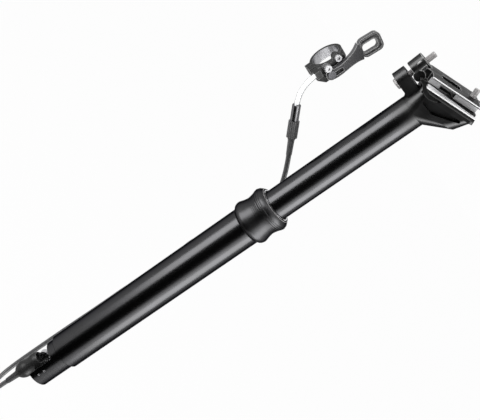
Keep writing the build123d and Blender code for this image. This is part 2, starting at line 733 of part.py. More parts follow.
# 14. handlebar remote, in its own plane: x along the lever, y along the handlebar, z towards the rider's thumb
remote = Plane(origin=remote_origin, x_dir=lever_run, z_dir=remote_face)
bar_axis = remote.y_dir
band_plane = Plane(origin=remote_origin, x_dir=remote.x_dir, z_dir=bar_axis)
pad_top = band_r + 2.3
plate_thickness = 2.6
lever_bottom = pad_top + plate_thickness + 0.4
lever_top = lever_bottom + lever_thickness
pivot_at = (-7.3, -3.4)
clamp_screw_at = (pivot_at[0], pivot_at[1] + pivot_arm)
bracket_screw_at = (3.9, 3.0)
pinch_x = -14.2
lug_top = 7.0
with BuildPart() as bar_clamp_band:
    with BuildSketch(band_plane.offset(band_y - band_width / 2)):
        Circle(band_r)
        with Locations((pinch_x, -1.0)):
            Rectangle(6.6, 12.0)
        with Locations((0, -pad_top)):
            Rectangle(18.0, 5.0, align=(Align.CENTER, Align.MIN))
        Circle(bar_r, mode=Mode.SUBTRACT)
        with Locations((pinch_x, -1.0)):
            Rectangle(10.0, 1.2, mode=Mode.SUBTRACT)
    extrude(amount=band_width)
    with BuildSketch(remote.offset(pad_top)):
        with Locations(bracket_screw_at):
            Circle(3.3)
    extrude(amount=-3.6)
    with BuildSketch(remote.offset(-8.0)):
        with Locations((pinch_x, band_y)):
            Circle(2.05)
    extrude(amount=18.0, mode=Mode.SUBTRACT)
    # the round seat sunk into the band's shoulder for the bolt's head
    with BuildSketch(remote.offset(lug_top)):
        with Locations((pinch_x, band_y)):
            Circle(3.5)
    extrude(amount=4.0, mode=Mode.SUBTRACT)
    with BuildSketch(remote.offset(pad_top)):
        with Locations(bracket_screw_at):
            Circle(2.02)
    extrude(amount=-3.4, mode=Mode.SUBTRACT)
keep(bar_clamp_band, "bar_clamp_band")

with BuildPart() as bar_clamp_bolt:
    with BuildSketch(remote.offset(lug_top)):
        with Locations((pinch_x, band_y)):
            Circle(3.2)
    extrude(amount=2.8)
    with BuildSketch(remote.offset(lug_top + 2.8)):
        with Locations((pinch_x, band_y)):
            RegularPolygon(1.7, 6)
    extrude(amount=-1.7, mode=Mode.SUBTRACT)
    with BuildSketch(remote.offset(lug_top + 0.1)):
        with Locations((pinch_x, band_y)):
            Circle(2.0)
    extrude(amount=-12.0)
keep(bar_clamp_bolt, "bar_clamp_bolt")

liner_z = lever_bottom + 2.2
liner_socket = 3.0
liner_seat = 4.5
stop_x0, stop_x1 = -18.2, -13.4
with BuildPart() as remote_bracket:
    with BuildSketch(remote.offset(pad_top)):
        with BuildLine():
            FilletPolyline(
                (-13.0, -8.6), (3.0, -8.6), (9.0, -4.0), (9.4, 1.4), (7.4, 6.2), (1.4, 6.2), (-1.6, 3.0),
                (-9.0, 3.0), (-12.6, 5.6), (stop_x0, 5.6), (stop_x0, -3.4), radius=1.0, close=True,
            )
        make_face()
    extrude(amount=plate_thickness)
    with BuildSketch(remote.offset(pad_top + plate_thickness)):
        with Locations(pivot_at):
            Circle(3.6)
    extrude(amount=0.3)
    with BuildSketch(remote.offset(pad_top + plate_thickness)):
        with Locations(((stop_x0 + stop_x1) / 2, clamp_screw_at[1])):
            RectangleRounded(stop_x1 - stop_x0, 6.0, 0.8)
    extrude(amount=lever_thickness + 1.4)
    with BuildSketch(remote.offset(pad_top)):
        with Locations(pivot_at):
            Circle(2.02)
        with Locations(bracket_screw_at):
            Circle(2.05)
    extrude(amount=plate_thickness + 1, mode=Mode.SUBTRACT)
    with BuildSketch(Plane(origin=remote.from_local_coords((stop_x0, clamp_screw_at[1], liner_z)),
                           x_dir=bar_axis, z_dir=remote.x_dir)):
        Circle(liner_r + 0.05)
    extrude(amount=liner_socket, mode=Mode.SUBTRACT)
    with BuildSketch(Plane(origin=remote.from_local_coords((stop_x0, clamp_screw_at[1], liner_z)),
                           x_dir=bar_axis, z_dir=remote.x_dir)):
        Circle(0.8)
    extrude(amount=stop_x1 - stop_x0, mode=Mode.SUBTRACT)
keep(remote_bracket, "remote_bracket")

with BuildPart() as bracket_screw:
    with BuildSketch(remote.offset(pad_top + plate_thickness)):
        with Locations(bracket_screw_at):
            Circle(2.65)
    extrude(amount=2.2)
    with BuildSketch(remote.offset(pad_top + plate_thickness + 2.2)):
        with Locations(bracket_screw_at):
            RegularPolygon(1.4, 6)
    extrude(amount=-1.4, mode=Mode.SUBTRACT)
    with BuildSketch(remote.offset(pad_top + plate_thickness + 0.1)):
        with Locations(bracket_screw_at):
            Circle(1.98)
    extrude(amount=-plate_thickness - 3.2)
keep(bracket_screw, "bracket_screw")

with BuildPart() as pivot_bolt:
    with BuildSketch(remote.offset(pad_top + 0.1)):
        with Locations(pivot_at):
            Circle(1.98)
    extrude(amount=lever_top - pad_top + 0.1)
    with BuildSketch(remote.offset(lever_top + 0.1)):
        with Locations(pivot_at):
            Circle(3.1)
    extrude(amount=1.2)
keep(pivot_bolt, "pivot_bolt")

# the lever: hub, wire ear, curved arm and a framed thumb pad with a slot
with BuildPart() as remote_lever:
    with BuildSketch(remote.offset(lever_bottom)):
        with Locations(pivot_at):
            Circle(4.4)
        with Locations(clamp_screw_at):
            Circle(3.0)
        with Locations((pivot_at[0], (pivot_at[1] + clamp_screw_at[1]) / 2)):
            Rectangle(6.0, pivot_arm)
        with BuildLine():
            Spline((pivot_at[0], 0.6), (-1.0, -1.0), (8.0, -0.4), (15.5, 1.8), (21.0, 5.4))
            Polyline((21.0, 5.4), (24.0, 0.0), (20.0, -8.6))
            Spline((20.0, -8.6), (14.0, -7.4), (3.0, -8.1), (pivot_at[0], pivot_at[1] - 4.4))
            Line((pivot_at[0], pivot_at[1] - 4.4), (pivot_at[0], 0.6))
        make_face()
        with Locations(Location((29.9, -1.7), -4.0)):
            RectangleRounded(18.6, 15.4, 4.4)
        with Locations(Location((28.8, -1.9), -4.0)):
            RectangleRounded(12.6, 7.2, 2.6, mode=Mode.SUBTRACT)
        with Locations(pivot_at):
            Circle(1.98 + slide_gap, mode=Mode.SUBTRACT)
    extrude(amount=lever_thickness)
    # the sunk face of the thumb pad, and the dark pocket beside the hub
    with BuildSketch(remote.offset(lever_top)):
        with Locations(Location((29.9, -1.7), -4.0)):
            RectangleRounded(16.0, 12.8, 3.2)
        with Locations(Location((28.8, -1.9), -4.0)):
            RectangleRounded(14.0, 8.6, 3.2, mode=Mode.SUBTRACT)
    extrude(amount=-0.9, mode=Mode.SUBTRACT)
    with BuildSketch(remote.offset(lever_top)):
        with Locations(Location((-1.2, -5.0), -2.0)):
            RectangleRounded(7.6, 3.0, 0.7)
    extrude(amount=-2.6, mode=Mode.SUBTRACT)
    with BuildSketch(remote.offset(lever_top)):
        with Locations(clamp_screw_at):
            Circle(1.42)
    extrude(amount=-3.2, mode=Mode.SUBTRACT)
keep(remote_lever, "remote_lever")

with BuildPart() as wire_clamp_screw:
    with BuildSketch(remote.offset(lever_top)):
        with Locations(clamp_screw_at):
            Circle(2.7)
    extrude(amount=1.7)
    with BuildSketch(remote.offset(lever_top + 1.7)):
        with Locations(clamp_screw_at):
            RegularPolygon(1.3, 6)
    extrude(amount=-1.0, mode=Mode.SUBTRACT)
    with BuildSketch(remote.offset(lever_top + 0.1)):
        with Locations(clamp_screw_at):
            Circle(1.4)
    extrude(amount=-3.2)
keep(wire_clamp_screw, "wire_clamp_screw")

# 15. barrel adjuster on the cable, between the liner and the housing
adjuster_start = Vector(-51.7, 16.0, 85.1)
adjuster_end = Vector(-23.2, 19.0, 55.9)
adjuster_dir = (adjuster_end - adjuster_start).normalized()
boot_r = housing_r + 0.45


def adjuster_plane(distance):
    """A plane square to the adjuster's axis, so far from its upper end."""
    return Plane(origin=adjuster_start + adjuster_dir * distance, x_dir=(0, 1, 0), z_dir=adjuster_dir)


stem_r = 2.3
sleeve_end = barrel_length + 0.2 + sleeve_length
adjuster_length = (adjuster_end - adjuster_start).length
with BuildPart() as adjuster_body:
    with BuildSketch(adjuster_plane(0)):
        Circle(barrel_r)
    extrude(amount=barrel_length)
    chamfer(adjuster_body.edges().filter_by(GeomType.CIRCLE), 0.5)
    with BuildSketch(adjuster_plane(barrel_length - 0.2)):
        Circle(stem_r)
    extrude(amount=sleeve_length + 0.8)
    with BuildSketch(adjuster_plane(0)):
        Circle(liner_r + slide_gap)
    extrude(amount=liner_seat, mode=Mode.SUBTRACT)
keep(adjuster_body, "adjuster_body")

with BuildPart() as adjuster_sleeve:
    with BuildSketch(adjuster_plane(barrel_length + 0.2)):
        Circle(sleeve_r - 0.45)
        with PolarLocations(sleeve_r - 0.45, sleeve_ribs):
            Rectangle(0.9, 0.75)
        Circle(stem_r + slide_gap, mode=Mode.SUBTRACT)
    extrude(amount=sleeve_length)
keep(adjuster_sleeve, "adjuster_sleeve")

with BuildPart() as adjuster_boot:
    with BuildSketch(adjuster_plane(sleeve_end + 0.2)):
        Circle(barrel_r)
    with BuildSketch(adjuster_plane(sleeve_end + 2.6)):
        Circle(boot_r + 0.15)
    loft()
    with BuildSketch(adjuster_plane(sleeve_end + 2.6)):
        Circle(boot_r + 0.15)
    with BuildSketch(adjuster_plane(adjuster_length)):
        Circle(boot_r - 0.15)
    loft()
    with BuildSketch(adjuster_plane(sleeve_end)):
        Circle(stem_r + 0.02)
    extrude(amount=0.8, mode=Mode.SUBTRACT)
keep(adjuster_boot, "adjuster_boot")

# 16. liner tube from the remote to the adjuster
liner_exit = remote.from_local_coords((stop_x0 + liner_socket, clamp_screw_at[1], liner_z))
liner_out = remote.x_dir * -1
liner_bend = (liner_out * 2.5 + adjuster_dir).normalized()
liner_turn = liner_exit + liner_out * 6.5
liner_points = [
    liner_exit, liner_turn, liner_turn + liner_bend * 9.0,
    adjuster_start - adjuster_dir * liner_seat, adjuster_start + adjuster_dir * liner_seat,
]
liner_radii = route_radii(liner_points)
with BuildPart() as liner_tube:
    with BuildLine() as liner_route:
        FilletPolyline(*liner_points, radius=liner_radii)
    with BuildSketch(Plane(origin=liner_points[0], z_dir=liner_points[1] - liner_points[0])):
        Circle(liner_r)
    sweep(path=liner_route.line)
keep(liner_tube, "liner_tube")

# 17. cable housing: down behind the collar, a tied hank behind the lower tube and a loop back up to the stop
hank_x = wire_x + hank_fold_r
hank_top = -57.0
hank_y0 = 21.6
hank_y1 = hank_y0 + hank_loops * hank_pitch
upper_points = [
    adjuster_end, adjuster_end + adjuster_dir * 25.0, Vector(3.8, 22.8, 13.0), Vector(3.4, 24.0, -12.0), Vector(wire_x, hank_y0, -42.0), Vector(wire_x, hank_y0, hank_top),
]
lower_points = [
    Vector(wire_x, hank_y1, hank_top - hank_run), Vector(wire_x, hank_y1, -160.0), Vector(wire_x, 44.0, -195.0),
    Vector(wire_x, 46.0, -234.0), Vector(wire_x, 46.0, boot_end_z - 19.2),
    Vector(wire_x, 32.6, boot_end_z - 32.6), Vector(wire_x, 13.4, boot_end_z - 32.6),
    Vector(wire_x, 0, boot_end_z - 19.2), Vector(wire_x, 0, boot_end_z),
]


def housing_tube(points):
    """A solid length of housing along straight runs joined by tangent arcs."""
    with BuildPart() as tube:
        with BuildLine() as route:
            FilletPolyline(*points, radius=route_radii(points))
        with BuildSketch(Plane(origin=points[0], z_dir=points[1] - points[0])):
            Circle(housing_r)
        sweep(path=route.line)
    return tube, sum(edge.length for edge in route.edges())


housing_upper_run, upper_length = housing_tube(upper_points)
keep(housing_upper_run, "housing_upper_run")
housing_lower_loop, lower_length = housing_tube(lower_points)
keep(housing_lower_loop, "housing_lower_loop")

# the hank's loops: every run is drawn in towards the waist and the far one climbs one step, with half turns between
hank_bottom = hank_top - hank_run
far_x = wire_x + 2 * hank_fold_r
waist_z = (hank_top + hank_bottom) / 2
straight_end = 2 * housing_r


def s_bend(start, end):
    """Two equal arcs from start to end in the open path, both ends along Z."""
    half = (end - start) / 2
    middle = start + half
    side = Vector(half.X, half.Y, 0)
    arc_r = (half.Z**2 + side.length**2) / (2 * side.length)
    turn = asin(abs(half.Z) / arc_r) / 2
    bulge = side.normalized() * arc_r * (1 - cos(turn)) + Vector(0, 0, half.Z).normalized() * arc_r * sin(turn)
    ThreePointArc(start, start + bulge, middle)
    ThreePointArc(middle, end - bulge, end)


def drawn_in_run(x, inward, y0, y1, z0, z1):
    """One run of the hank between two folds, straight at both ends and nearer the middle at its waist."""
    step = Vector(0, 0, straight_end if z1 > z0 else -straight_end)
    start, end = Vector(x, y0, z0), Vector(x, y1, z1)
    waist = Vector(x + inward, (y0 + y1) / 2, waist_z)
    Line(start, start + step)
    s_bend(start + step, waist)
    s_bend(waist, end - step)
    Line(end - step, end)


with BuildPart() as housing_hank:
    with BuildLine() as hank_route:
        for loop in range(hank_loops):
            y = hank_y0 + loop * hank_pitch
            up = y + hank_pitch
            drawn_in_run(wire_x, hank_waist, y, y, hank_top, hank_bottom)
            ThreePointArc((wire_x, y, hank_bottom), (hank_x, y, hank_bottom - hank_fold_r), (far_x, y, hank_bottom))
            drawn_in_run(far_x, -hank_waist, y, up, hank_bottom, hank_top)
            ThreePointArc((far_x, up, hank_top), (hank_x, up, hank_top + hank_fold_r), (wire_x, up, hank_top))
        drawn_in_run(wire_x, hank_waist, hank_y1, hank_y1, hank_top, hank_bottom)
    with BuildSketch(Plane(origin=(wire_x, hank_y0, hank_top), x_dir=(1, 0, 0), z_dir=(0, 0, -1))):
        Circle(housing_r)
    sweep(path=hank_route.line)
keep(housing_hank, "housing_hank")

# the strap around the hank's waist, with its buckle at the back
tie_gap = 0.1
tie_thickness = 1.2
tie_width = far_x - wire_x - 2 * hank_waist + 2 * (housing_r + tie_gap)
tie_depth = hank_y1 - hank_y0 + 2 * (housing_r + tie_gap)
with BuildPart() as hank_tie:
    with BuildSketch(Plane.XY.offset(waist_z - 2.0)):
        with Locations((hank_x, (hank_y0 + hank_y1) / 2)):
            RectangleRounded(tie_width + 2 * tie_thickness, tie_depth + 2 * tie_thickness, housing_r + tie_thickness)
            RectangleRounded(tie_width, tie_depth, housing_r, mode=Mode.SUBTRACT)
        with Locations((hank_x, hank_y1 + housing_r + tie_gap + 0.6)):
            Rectangle(5.0, 3.4, align=(Align.CENTER, Align.MIN))
    extrude(amount=4.0)
keep(hank_tie, "hank_tie")

# write one file per piece, and say how long the cables are
os.makedirs("parts", exist_ok=True)
for piece in parts:
    export_step(piece, f"parts/{piece.label}.step")

hank_length = sum(edge.length for edge in hank_route.edges())
tube_area = pi * housing_r**2
print("liner radii", [round(r, 1) for r in liner_radii], "length",
      round(sum(edge.length for edge in liner_route.edges()), 1))
print("upper radii", [round(r, 1) for r in route_radii(upper_points)], "length", round(upper_length, 1))
print("lower radii", [round(r, 1) for r in route_radii(lower_points)], "length", round(lower_length, 1))
print("hank fold radius", hank_fold_r, "length", round(hank_length, 1))

# the hank's least distance to itself, on points a millimetre or so apart along it
marks = []
walked = 0
for edge in hank_route.edges():
    steps = max(2, round(edge.length))
    marks += [(walked + edge.length * i / steps, edge @ (i / steps)) for i in range(steps)]
    walked += edge.length
places = [(at, mark.X, mark.Y, mark.Z) for at, mark in marks]
nearest = min(
    (x1 - x0)**2 + (y1 - y0)**2 + (z1 - z0)**2
    for number, (at0, x0, y0, z0) in enumerate(places)
    for at1, x1, y1, z1 in places[number + 1:] if at1 - at0 > 6 * housing_r
)
print("hank's least gap to itself", round(nearest**0.5 - 2 * housing_r, 3))
for name, solid, length in (("upper", housing_upper_run, upper_length), ("lower", housing_lower_loop, lower_length),
                            ("hank", housing_hank, hank_length)):
    print(name, "volume", round(solid.part.volume, 1), "section x length", round(tube_area * length, 1))
print("housing in all", round(upper_length + lower_length + hank_length, 1))
print("front nut", front_nut, "rear nut", rear_nut, "rear s", round(rear_s, 2))
print("cam pivot", cam_pivot, "anchor", anchor, "stop top", stop_top, "stop", stop_z, "boot end", boot_end_z)
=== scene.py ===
"""Dropper seatpost with its saddle clamp, cable actuator and bar remote: looks, camera and light."""

import bmesh
import bpy
import numpy as np
from mathutils import Matrix


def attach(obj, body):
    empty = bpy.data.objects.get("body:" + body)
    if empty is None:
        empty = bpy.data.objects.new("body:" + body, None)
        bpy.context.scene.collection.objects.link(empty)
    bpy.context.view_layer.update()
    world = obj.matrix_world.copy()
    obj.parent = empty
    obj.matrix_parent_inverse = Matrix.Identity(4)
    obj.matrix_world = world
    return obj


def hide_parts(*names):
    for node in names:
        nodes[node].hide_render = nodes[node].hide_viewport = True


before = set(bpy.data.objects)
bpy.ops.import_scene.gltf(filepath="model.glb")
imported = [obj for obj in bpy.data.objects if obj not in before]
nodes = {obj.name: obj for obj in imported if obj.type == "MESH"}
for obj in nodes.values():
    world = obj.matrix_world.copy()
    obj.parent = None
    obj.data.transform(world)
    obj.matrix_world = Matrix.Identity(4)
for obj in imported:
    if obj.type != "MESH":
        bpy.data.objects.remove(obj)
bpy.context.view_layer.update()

MM = 0.001


# the camera: it stands a little to the side and above, and is rolled so that the post lies along the slant
def unit(v):
    """The same direction, one long."""
    v = np.asarray(v, float)
    return v / np.linalg.norm(v)


def placing(side, top, back, place):
    """The matrix that puts a thing at a place, with its own three axes along side, top and back."""
    return Matrix(np.vstack([np.column_stack([side, top, back, place]), [0, 0, 0, 1]]))


turned, raised, roll = np.radians([10.0, 17.0, 34.93])
across = np.array([np.cos(turned), -np.sin(turned), 0.0])
ahead = np.array([np.sin(turned), np.cos(turned), 0.0])
towards_lens = -np.cos(raised) * ahead + (0, 0, np.sin(raised))
along_post = np.sin(raised) * ahead + (0, 0, np.cos(raised))
right = np.cos(roll) * along_post + np.sin(roll) * across
up = np.sin(roll) * along_post - np.cos(roll) * across
aim = (-12.7 * across + (0, 0, 2.5)) * MM
camera_distance = 0.797
lens = bpy.data.cameras.new("camera")
lens.lens = 77.31
lens.sensor_width = 36.0
lens.clip_start, lens.clip_end = 0.05, 20
camera = bpy.data.objects.new("camera", lens)
bpy.context.collection.objects.link(camera)
camera.matrix_world = placing(right, up, towards_lens, aim + camera_distance * towards_lens)
bpy.context.scene.camera = camera


# materials: small helpers that add and join shader nodes
def new_finish(name, colour, metallic=0.0, roughness=0.4, **sockets):
    """A material with one Principled shader whose constants are set on its own sockets."""
    finish = bpy.data.materials.new(name)
    finish.use_nodes = True
    shader = finish.node_tree.nodes["Principled BSDF"]
    shader.inputs["Base Color"].default_value = (*colour, 1)
    shader.inputs["Metallic"].default_value = metallic
    shader.inputs["Roughness"].default_value = roughness
    for socket, value in sockets.items():
        shader.inputs[socket.replace("_", " ")].default_value = value
    return finish, finish.node_tree, shader


def add(tree, kind, inputs=(), **settings):
    """One shader node, with values or other nodes' outputs on its inputs."""
    node = tree.nodes.new("ShaderNode" + kind)
    for setting, value in settings.items():
        setattr(node, setting, value)
    for socket, value in dict(inputs).items():
        if isinstance(value, bpy.types.NodeSocket):
            tree.links.new(value, node.inputs[socket])
        else:
            node.inputs[socket].default_value = value
    return node


def stretched(tree, scale):
    """Object coordinates multiplied by one factor along each axis."""
    place = add(tree, "TexCoord")
    return add(tree, "Mapping", {"Vector": place.outputs["Object"], "Scale": scale}).outputs["Vector"]


def grain(tree, scale, vector=None, detail=3.0):
    """Noise between 0 and 1 on Object coordinates."""
    vector = vector or stretched(tree, (1, 1, 1))
    noise = add(tree, "TexNoise", {"Vector": vector, "Scale": scale, "Detail": detail, "Roughness": 0.55})
    return noise.outputs["Fac"]


def between(tree, value, low, high, start=0.3, end=0.7):
    """A value from start to end carried over to low to high."""
    return add(tree, "MapRange", {"Value": value, "From Min": start, "From Max": end,
                                  "To Min": low, "To Max": high}).outputs["Result"]


def mixed(tree, factor, first, second):
    """A colour between two others, each a node's output or a tone."""
    first, second = (c if isinstance(c, bpy.types.NodeSocket) else (*c, 1) for c in (first, second))
    return add(tree, "Mix", {"Factor": factor, "A": first, "B": second}, data_type="RGBA").outputs["Result"]


def relief(tree, shader, height, distance, strength):
    """Bump from a height, on top of whatever bump is there already."""
    bump = add(tree, "Bump", {"Height": height, "Distance": distance, "Strength": strength})
    if shader.inputs["Normal"].is_linked:
        tree.links.new(shader.inputs["Normal"].links[0].from_socket, bump.inputs["Normal"])
    tree.links.new(bump.outputs["Normal"], shader.inputs["Normal"])


def worn_and_highlit_edges(tree, shader, tone):
    """Edges painted paler to a grey tone, wherever a normal rounded over 0.9 mm leaves the face's own: part
    worn metal, part painted highlight where rounded edges would catch the lamps.
    """
    rounded = add(tree, "Bevel", {"Radius": 0.9 * MM}, samples=8).outputs["Normal"]
    own = add(tree, "NewGeometry").outputs["Normal"]
    agreement = add(tree, "VectorMath", {0: rounded, 1: own}, operation="DOT_PRODUCT").outputs["Value"]
    worn_and_highlit = between(tree, agreement, 1.0, 0.0, 0.86, 0.985)
    colour = shader.inputs["Base Color"]
    # the paler edge colour: part wear, part painted highlight
    tree.links.new(mixed(tree, worn_and_highlit, colour.links[0].from_socket, (tone,) * 3), colour)
    metal = shader.inputs["Metallic"].default_value
    tree.links.new(between(tree, worn_and_highlit, metal, min(metal, 0.15), 0.0, 1.0), shader.inputs["Metallic"])


# materials: the finishes of this post, with bumps of three depths
dark_tint = (0.25, 0.25, 0.26, 1)
hair_deep, fine_deep, grit_deep = 0.01 * MM, 0.03 * MM, 0.05 * MM


def turning_lines(tree):
    """Noise that is long round the post's axis and short along it, as a lathe leaves."""
    return grain(tree, 6000.0, stretched(tree, (0.02, 0.02, 1)), 2.0)


def anodised(name, tone, roughness, lines):
    """Black anodised aluminium: dark, faintly uneven, with turning lines round the post's axis."""
    colour = (tone, tone, tone * 1.05)
    darker, lighter = (tone * 0.9,) * 3, (tone * 1.1, tone * 1.1, tone * 1.16)
    finish, tree, shader = new_finish(name, colour, 1.0, roughness, Specular_Tint=dark_tint)
    tree.links.new(mixed(tree, grain(tree, 60.0), darker, lighter), shader.inputs["Base Color"])
    fine = turning_lines(tree)
    tree.links.new(between(tree, fine, roughness - 0.006, roughness + 0.006), shader.inputs["Roughness"])
    relief(tree, shader, fine, hair_deep, lines)
    return finish


def forged_post(name):
    """The post's anodising: polished with turning lines on the tube, duller and even on the forged head."""
    finish, tree, shader = new_finish(name, (0.06, 0.06, 0.062), 1.0, 0.3, Specular_Tint=dark_tint)
    tube_ends, head_begins = 136 * MM, 152 * MM
    height = add(tree, "SeparateXYZ", {0: add(tree, "TexCoord").outputs["Object"]}).outputs["Z"]
    head = between(tree, height, 0.0, 1.0, tube_ends, head_begins)
    cloud = grain(tree, 70.0)
    tube_tone = mixed(tree, cloud, (0.05, 0.05, 0.051), (0.062, 0.062, 0.065))
    head_tone = mixed(tree, cloud, (0.04, 0.04, 0.04), (0.055, 0.055, 0.056))
    tree.links.new(mixed(tree, head, tube_tone, head_tone), shader.inputs["Base Color"])
    fine = turning_lines(tree)
    gloss, dull = between(tree, fine, 0.235, 0.245), between(tree, cloud, 0.3, 0.38)
    rough = add(tree, "Mix", {"Factor": head, "A": gloss, "B": dull}).outputs["Result"]
    tree.links.new(rough, shader.inputs["Roughness"])
    lines = add(tree, "Mix", {"Factor": head, "A": fine, "B": 0.5}).outputs["Result"]
    relief(tree, shader, lines, hair_deep, 0.005)
    relief(tree, shader, grain(tree, 4200.0, detail=2.0), hair_deep, 0.02)
    return finish


def blasted(name, tone, roughness, metallic, edge):
    """Forged aluminium, bead blasted and anodised black: an even fine grain, with its edges painted paler,
    part wear and part painted highlight.
    """
    grey_tint = (0.3, 0.3, 0.3, 1)
    finish, tree, shader = new_finish(name, (tone,) * 3, metallic, roughness, Specular_Tint=grey_tint)
    cloud = grain(tree, 120.0)
    tree.links.new(mixed(tree, cloud, (tone * 0.85,) * 3, (tone * 1.15,) * 3), shader.inputs["Base Color"])
    tree.links.new(between(tree, cloud, roughness - 0.05, roughness + 0.06), shader.inputs["Roughness"])
    relief(tree, shader, grain(tree, 4200.0, detail=2.0), grit_deep, 0.35)
    worn_and_highlit_edges(tree, shader, edge)
    return finish


# tool marks are long where their factor is small: along z, round z, along x, and along both x and z
drawn, turned_round, ground, milled = (1, 1, 0.05), (0.05, 0.05, 1), (0.05, 1, 1), (0.3, 1, 0.3)


def bright_metal(name, colour, roughness, marks=drawn, metallic=1.0):
    """Machined or ground metal with fine tool marks along one direction."""
    finish, tree, shader = new_finish(name, colour, metallic, roughness)
    scratches = grain(tree, 2500.0, stretched(tree, marks), 4.0)
    darker = tuple(c * 0.8 for c in colour)
    tree.links.new(mixed(tree, scratches, darker, colour), shader.inputs["Base Color"])
    tree.links.new(between(tree, scratches, roughness - 0.06, roughness + 0.08), shader.inputs["Roughness"])
    relief(tree, shader, scratches, fine_deep, 0.4)
    return finish


def soft_plastic(name, colour, roughness, scale=2600.0, strength=0.25, specular=0.5, edge=None):
    """Moulded plastic or rubber: fine pimpled skin and slightly uneven gloss."""
    finish, tree, shader = new_finish(name, colour, 0.0, roughness, Specular_IOR_Level=specular)
    cloud = grain(tree, 150.0)
    lighter = tuple(c * 1.25 for c in colour)
    tree.links.new(mixed(tree, cloud, colour, lighter), shader.inputs["Base Color"])
    tree.links.new(between(tree, cloud, roughness - 0.05, roughness + 0.08), shader.inputs["Roughness"])
    relief(tree, shader, grain(tree, scale, detail=2.0), grit_deep, strength)
    # edges painted paler: part wear, part painted highlight
    if edge:
        worn_and_highlit_edges(tree, shader, edge)
    return finish


def milky_tube(name):
    """Clear liner seen from outside: milky white where it faces the eye, with painted shade making it greyer
    where it turns away from the eye.
    """
    finish, tree, shader = new_finish(name, (0.85, 0.86, 0.87), 0.0, 0.15)
    # painted shade: the colour greys towards near black as the surface turns away from the eye
    outline_shade = between(tree, add(tree, "LayerWeight", {"Blend": 0.5}).outputs["Facing"], 0.0, 1.0)
    streaks = grain(tree, 300.0)
    body = mixed(tree, streaks, (0.82, 0.83, 0.84), (0.92, 0.93, 0.94))
    tree.links.new(mixed(tree, outline_shade, body, (0.05, 0.05, 0.052)), shader.inputs["Base Color"])
    relief(tree, shader, streaks, fine_deep, 0.2)
    return finish


# edge: the tone of the paler edges, part wear and part painted highlight
post_black = anodised("post_black", tone=0.055, roughness=0.24, lines=0.005)
stanchion_black = forged_post("stanchion_black")
collar_black = anodised("collar_black", tone=0.05, roughness=0.33, lines=0.2)
part_black = blasted("part_black", tone=0.032, roughness=0.34, metallic=0.6, edge=0.12)
barrel_black = anodised("barrel_black", tone=0.16, roughness=0.26, lines=0.0)
cradle_black = blasted("cradle_black", tone=0.05, roughness=0.3, metallic=0.9, edge=0.09)
clamp_satin = blasted("clamp_satin", tone=0.05, roughness=0.3, metallic=0.95, edge=0.4)
ring_bright = bright_metal("ring_bright", (0.75, 0.75, 0.77), 0.22, turned_round)
nut_bright = bright_metal("nut_bright", (0.7, 0.7, 0.72), 0.25)
bolt_grey = bright_metal("bolt_grey", (0.36, 0.35, 0.35), 0.42, metallic=0.35)
screw_silver = bright_metal("screw_silver", (0.45, 0.45, 0.46), 0.35, metallic=0.5)
pin_steel = bright_metal("pin_steel", (0.5, 0.5, 0.52), 0.25)
# machined silver on the rail bed; on the jaws' chamfer it is also a painted highlight
silver_and_highlight = bright_metal("silver_and_highlight", (0.8, 0.8, 0.81), 0.45, ground, metallic=0.1)
web_grey = bright_metal("web_grey", (0.4, 0.4, 0.405), 0.4, milled, metallic=0.3)
bored_grey = anodised("bored_grey", tone=0.42, roughness=0.3, lines=0.0)
screw_black = bright_metal("screw_black", (0.09, 0.09, 0.095), 0.35)
seal_rubber = soft_plastic("seal_rubber", (0.012, 0.012, 0.012), 0.6, specular=0.3)
boot_rubber = soft_plastic("boot_rubber", (0.02, 0.02, 0.021), 0.5, specular=0.35)
slide_white = soft_plastic("slide_white", (0.75, 0.73, 0.68), 0.4)
key_brass = bright_metal("key_brass", (0.78, 0.6, 0.3), 0.3)
lever_black = soft_plastic("lever_black", (0.036, 0.036, 0.038), 0.36, edge=0.34)
sleeve_grey = soft_plastic("sleeve_grey", (0.07, 0.07, 0.071), 0.4)
housing_black = soft_plastic("housing_black", (0.045, 0.045, 0.046), 0.36, scale=1800.0, strength=0.15)
cartridge_paint = soft_plastic("cartridge_paint", (0.05, 0.05, 0.055), 0.3)
liner_clear = milky_tube("liner_clear")

pieces_in = [
    (post_black, ["lower_tube", "foot_housing"]),
    (stanchion_black, ["stanchion"]),
    (collar_black, ["seal_collar"]),
    (part_black, ["cable_stop", "bar_clamp_band", "remote_bracket"]),
    (cradle_black, ["lower_cradle"]),
    (clamp_satin, ["upper_clamp"]),
    (barrel_black, ["adjuster_body"]),
    (sleeve_grey, ["adjuster_sleeve"]),
    (lever_black, ["remote_lever"]),
    (ring_bright, ["retaining_ring"]),
    (nut_bright, ["cartridge_nut", "rod_top_nut", "barrel_nut_front", "barrel_nut_rear",
                  "bolt_washer_front", "bolt_washer_rear"]),
    (bolt_grey, ["clamp_bolt_front", "clamp_bolt_rear"]),
    (screw_silver, ["stop_screw_upper", "stop_screw_lower", "bracket_screw", "wire_clamp_screw"]),
    (screw_black, ["bar_clamp_bolt", "pivot_bolt"]),
    (pin_steel, ["actuator_cam", "wire_anchor", "valve_pin", "cam_pivot_pin", "inner_wire", "cartridge_rod"]),
    (key_brass, ["guide_key_a", "guide_key_b", "guide_key_c"]),
    (slide_white, ["upper_bushing", "lower_bushing", "rod_piston"]),
    (seal_rubber, ["wiper_seal"]),
    (boot_rubber, ["stop_boot", "hank_tie"]),
    (cartridge_paint, ["gas_cartridge"]),
    (housing_black, ["adjuster_boot", "housing_upper_run", "housing_lower_loop", "housing_hank"]),
    (liner_clear, ["liner_tube"]),
]
for finish, names in pieces_in:
    for node_name in names:
        for material_slot in nodes[node_name].material_slots:
            material_slot.material = finish


# cables: the same routes as the solids, as smooth curves
def at(x, y, z):
    """A point of a cable's route, given in millimetres."""
    return np.array([x, y, z]) * MM


